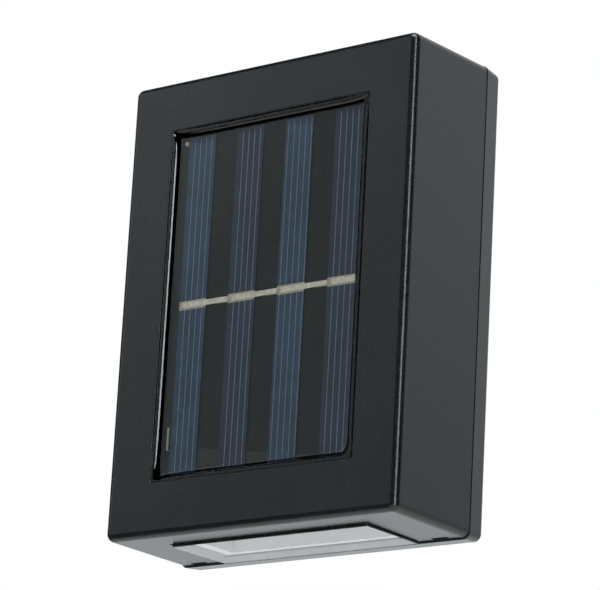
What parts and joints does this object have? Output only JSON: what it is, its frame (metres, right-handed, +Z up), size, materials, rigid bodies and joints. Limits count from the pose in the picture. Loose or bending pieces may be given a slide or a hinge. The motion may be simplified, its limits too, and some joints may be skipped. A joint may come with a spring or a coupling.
{
  "type": "solar fence light",
  "caption": "Rectangular wall-hung solar fence light: panel window in the face, clear lens in the underside, keyhole and slide switch in the back.",
  "frame": {"origin": "middle of the flat back of the rear cover, in the plane that rests on the fence, halfway up the front shell", "axes": "+Y into the wall that the light hangs on, +Z up, +X to the right as the face is seen"},
  "size_m": [0.0614, 0.0252, 0.0832],
  "materials": {
    "housing_plastic": "black weatherproof ABS, fine moulded grain",
    "seal_rubber": "black foam rubber",
    "screw_steel": "zinc-plated steel",
    "solder_mask": "dark solder mask on glass laminate",
    "silicon": "polycrystalline silicon with an anti-reflective coat",
    "silver_paste": "fired silver paste",
    "tinned_copper": "tinned copper",
    "clear_resin": "clear cast epoxy",
    "lens_plastic": "clear moulded polycarbonate",
    "white_plastic": "white reflector plastic",
    "board_white": "white solder mask on glass laminate",
    "phosphor": "yellow phosphor in silicone",
    "battery_steel": "nickel-plated steel",
    "battery_wrap": "shrunk PVC film",
    "spring_steel": "nickel-plated spring steel",
    "black_plastic": "black nylon",
    "inductor_resin": "green dipped resin",
    "switch_steel": "tin-plated steel",
    "red_insulation": "red PVC insulation",
    "black_insulation": "black PVC insulation"
  },
  "bodies": {
    "housing": {"front_shell": "housing_plastic", "rear_cover": "housing_plastic", "cover_seal": "seal_rubber", "cover_screws": "screw_steel", "panel_board": "solder_mask", "solar_cell_1": "silicon", "solar_cell_2": "silicon", "solar_cell_3": "silicon", "solar_cell_4": "silicon", "cell_busbars": "silver_paste", "tab_ribbon_1": "tinned_copper", "tab_ribbon_2": "tinned_copper", "tab_ribbon_3": "tinned_copper", "tab_ribbon_4": "tinned_copper", "panel_lead_tips": "tinned_copper", "epoxy_fill": "clear_resin", "bottom_lens": "lens_plastic", "reflector": "white_plastic", "led_board": "board_white", "led_package_1": "white_plastic", "led_package_2": "white_plastic", "led_phosphor_1": "phosphor", "led_phosphor_2": "phosphor", "battery_can": "battery_steel", "battery_sleeve": "battery_wrap", "battery_spring": "spring_steel", "negative_contact": "spring_steel", "positive_contact": "spring_steel", "control_board": "solder_mask", "board_screws": "screw_steel", "driver_chip": "black_plastic", "boost_inductor": "inductor_resin", "switch_frame": "switch_steel", "switch_base": "black_plastic", "switch_pins": "tinned_copper", "led_lead_positive": "red_insulation", "led_lead_negative": "black_insulation", "battery_lead_positive": "red_insulation", "battery_lead_negative": "black_insulation", "panel_lead_positive": "red_insulation", "panel_lead_negative": "black_insulation"},
    "lever": {"switch_lever": "black_plastic", "switch_wiper": "tinned_copper"}
  },
  "joints": [
    {"name": "switch_slide", "type": "slide", "parent": "housing", "child": "lever", "axis": [1, 0, 0], "range_m": [0, 0.002]}
  ]
}
